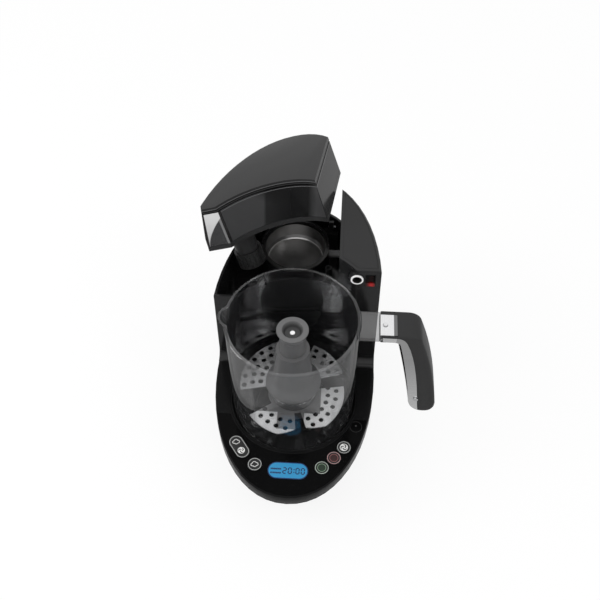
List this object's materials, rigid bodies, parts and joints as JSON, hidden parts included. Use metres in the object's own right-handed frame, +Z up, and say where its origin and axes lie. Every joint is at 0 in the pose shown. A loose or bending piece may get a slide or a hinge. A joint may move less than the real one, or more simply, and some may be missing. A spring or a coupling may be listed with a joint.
{
  "type": "baby food steamer blender",
  "caption": "Oval-based baby food steamer and blender with a clear handled bowl, perforated blade, rear boiler bay, steam column and a lifted, tilted water tank.",
  "frame": {"origin": "on the floor under the bowl axis", "axes": "+Z up, control panel towards -Y, bowl handle towards +X"},
  "size_m": [0.2468, 0.3402, 0.2813],
  "materials": {
    "black_gloss": "gloss",
    "black_satin": "satin",
    "grey_plastic": "satin",
    "white_plastic": "gloss",
    "steel": "polished",
    "dull_steel": "satin",
    "smoky_clear": "clear smoky",
    "clear": "clear",
    "white_rubber": "matt",
    "black_rubber": "matt",
    "red_plastic": "gloss",
    "blue_display": "lit panel",
    "green_board": "board"
  },
  "bodies": {
    "root": {"bottom_cover": "black_satin", "base_shell": "black_gloss", "bowl_seat": "black_gloss", "control_panel": "black_gloss", "display_window": "blue_display", "display_module": "black_satin", "control_board": "green_board", "foot_1": "black_rubber", "foot_2": "black_rubber", "foot_3": "black_rubber", "foot_4": "black_rubber", "cord_gland": "black_rubber", "motor": "dull_steel", "motor_bracket": "dull_steel", "tower_shell": "black_gloss", "column_cap": "black_gloss", "boiler_housing": "black_satin", "boiler_dish": "dull_steel", "boiler_guard": "black_gloss", "heating_element": "dull_steel", "steam_nozzle": "black_satin", "steam_gasket": "white_rubber", "steam_duct": "grey_plastic", "interlock_cover": "smoky_clear", "interlock_spring": "steel", "catch_block": "black_satin", "catch_tongue": "black_satin", "catch_pin": "steel", "valve_seat": "black_satin"},
    "drive": {"drive_spindle": "steel", "drive_coupling": "black_satin"},
    "bowl": {"glass_bowl": "smoky_clear", "bowl_ring": "black_satin", "handle_arm": "smoky_clear", "handle_plate": "steel", "handle_plate_screw": "steel", "handle_grip": "black_gloss", "handle_strip": "steel", "handle_strip_screw": "steel"},
    "blade": {"blade_hub": "grey_plastic", "hub_cap": "grey_plastic", "hub_pin": "white_plastic", "upper_sheet": "steel", "lower_sheet": "steel"},
    "valve_ball": {"valve_ball": "white_rubber"},
    "tank": {"tank_lid": "black_gloss", "tank_shell": "black_gloss", "tank_window": "clear", "tank_base": "black_gloss"},
    "tank_cap": {"tank_cap": "black_satin"},
    "interlock_plunger": {"interlock_plunger": "red_plastic"},
    "key_steam": {"key_steam": "black_satin"},
    "key_start": {"key_start": "black_satin"},
    "key_stop": {"key_stop": "black_satin"},
    "key_blend": {"key_blend": "black_satin"},
    "key_steam_and_blend": {"key_steam_and_blend": "black_satin"}
  },
  "joints": [
    {"name": "drive_spin", "type": "hinge", "parent": "root", "child": "drive", "pos_m": [0, 0, 0.1], "axis": [0, 0, 1], "continuous": true},
    {"name": "bowl_lift", "type": "slide", "parent": "root", "child": "bowl", "axis": [0, 0, 1], "range_m": [0, 0.11]},
    {"name": "blade_spin", "type": "hinge", "parent": "bowl", "child": "blade", "pos_m": [0, 0, 0.1], "axis": [0, 0, 1], "continuous": true},
    {"name": "tank_lift", "type": "slide", "parent": "root", "child": "valve_ball", "axis": [-0.1138, -0.6304, -0.7679], "range_m": [0, 0.04219]},
    {"name": "tank_tilt", "type": "hinge", "parent": "valve_ball", "child": "tank", "pos_m": [-0.0512, 0.1054, 0.17223], "axis": [0.5902, 0.7932, 0.15], "range_deg": [0, 23.55]},
    {"name": "tank_cap_twist", "type": "hinge", "parent": "tank", "child": "tank_cap", "pos_m": [-0.0512, 0.1054, 0.17223], "axis": [-0.309, 0.2452, 0.9189], "range_deg": [0, 360]},
    {"name": "interlock_press", "type": "slide", "parent": "root", "child": "interlock_plunger", "axis": [0, 1, 0], "range_m": [0, 0.003], "stiffness_N_per_m": 300, "deforming": ["interlock_spring"]},
    {"name": "key_steam_press", "type": "slide", "parent": "root", "child": "key_steam", "axis": [0, 0, -1], "range_m": [0, 0.0008], "stiffness_N_per_m": 900},
    {"name": "key_start_press", "type": "slide", "parent": "root", "child": "key_start", "axis": [0, 0, -1], "range_m": [0, 0.0008], "stiffness_N_per_m": 900},
    {"name": "key_stop_press", "type": "slide", "parent": "root", "child": "key_stop", "axis": [0, 0, -1], "range_m": [0, 0.0008], "stiffness_N_per_m": 900},
    {"name": "key_blend_press", "type": "slide", "parent": "root", "child": "key_blend", "axis": [0, 0, -1], "range_m": [0, 0.0008], "stiffness_N_per_m": 900},
    {"name": "key_steam_and_blend_press", "type": "slide", "parent": "root", "child": "key_steam_and_blend", "axis": [0, 0, -1], "range_m": [0, 0.0008], "stiffness_N_per_m": 900}
  ],
  "couplings": [
    {"joint": "tank_tilt", "follows": "tank_lift", "rad_per_m": 9.7206},
    {"joint": "blade_spin", "follows": "drive_spin", "ratio": 1}
  ]
}
